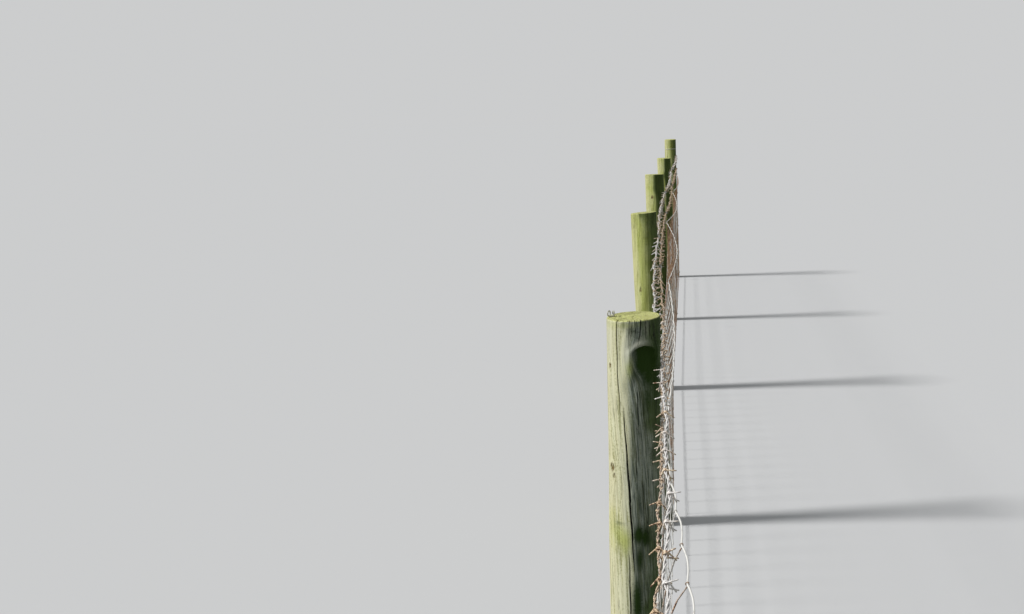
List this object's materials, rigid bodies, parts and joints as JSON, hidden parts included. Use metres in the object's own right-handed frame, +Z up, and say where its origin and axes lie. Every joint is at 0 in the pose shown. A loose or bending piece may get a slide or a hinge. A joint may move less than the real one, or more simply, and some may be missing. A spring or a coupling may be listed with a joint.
{
  "type": "post and wire stock fence",
  "caption": "Run of stock fence: round wooden posts carrying two strands of barbed wire above graduated hinge-joint field netting, all stapled to one side.",
  "frame": {"origin": "middle of the first post's foot, at ground level", "axes": "+X along the run towards the last post, +Z up, and the wires are on the -Y side of the posts"},
  "size_m": [11.16, 0.2313, 1.2599],
  "materials": {
    "post_wood": "weathered treated softwood, peeled round, silver grey with a green tint",
    "galvanised_wire": "dull galvanised, weathered",
    "rusty_wire": "old galvanised wire, mostly rusted"
  },
  "bodies": {
    "root": {"post_1": "post_wood", "post_2": "post_wood", "post_3": "post_wood", "post_4": "post_wood", "post_5": "post_wood", "post_6": "post_wood", "top_barbed_strand": "galvanised_wire", "second_barbed_strand": "rusty_wire", "netting_bay_1": "rusty_wire", "netting_bay_2": "rusty_wire", "netting_bay_3": "rusty_wire", "netting_bay_4": "rusty_wire", "netting_bay_5": "rusty_wire", "staples_post_1": "galvanised_wire", "staples_post_2": "galvanised_wire", "staples_post_3": "galvanised_wire", "staples_post_4": "galvanised_wire", "staples_post_5": "galvanised_wire", "staples_post_6": "galvanised_wire", "tie_wire_loops": "galvanised_wire", "tie_wire_ring": "galvanised_wire"}
  },
  "joints": []
}
